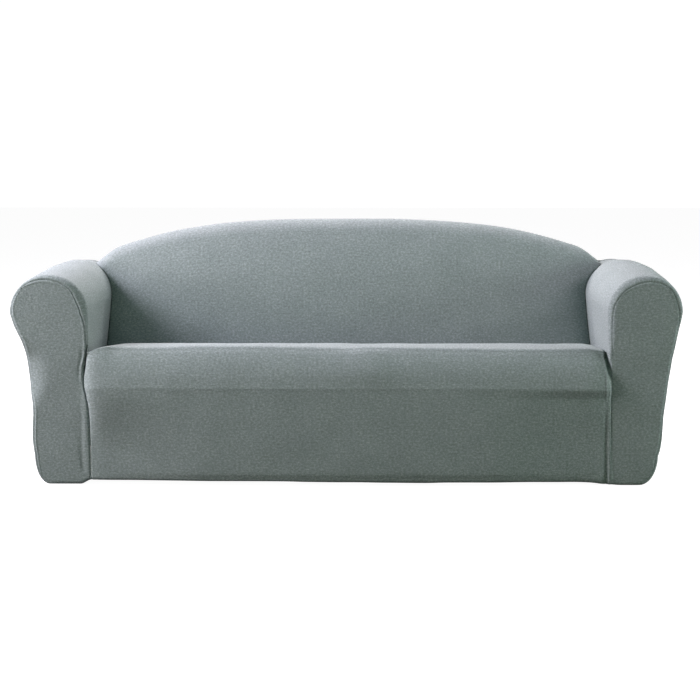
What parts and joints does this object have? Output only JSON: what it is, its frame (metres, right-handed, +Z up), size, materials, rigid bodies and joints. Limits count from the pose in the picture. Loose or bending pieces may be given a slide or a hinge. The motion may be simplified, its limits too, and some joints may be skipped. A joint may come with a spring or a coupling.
{
  "type": "sofa slipcover",
  "caption": "Stretch knit slipcover shaped to a three-seat sofa with rolled arms and an arched back, hollow and open underneath.",
  "frame": {"origin": "middle of the cover's plan, at the height of the hem round the arms and the back", "axes": "+X across the cover towards its right arm as seen from the front, +Y from the front to the outside back, +Z up"},
  "size_m": [2.2048, 0.872, 0.841],
  "materials": {
    "seat_front": "heathered blue-grey stretch knit, matt",
    "inside_back": "heathered blue-grey stretch knit, matt",
    "outside_back": "heathered blue-grey stretch knit, matt",
    "arm_wrap_left": "heathered blue-grey stretch knit, matt",
    "arm_wrap_right": "heathered blue-grey stretch knit, matt",
    "arm_front_left": "heathered blue-grey stretch knit, matt",
    "arm_front_right": "heathered blue-grey stretch knit, matt"
  },
  "bodies": {
    "root": {"seat_front": "seat_front", "inside_back": "inside_back", "outside_back": "outside_back", "arm_wrap_left": "arm_wrap_left", "arm_wrap_right": "arm_wrap_right", "arm_front_left": "arm_front_left", "arm_front_right": "arm_front_right"}
  },
  "joints": []
}
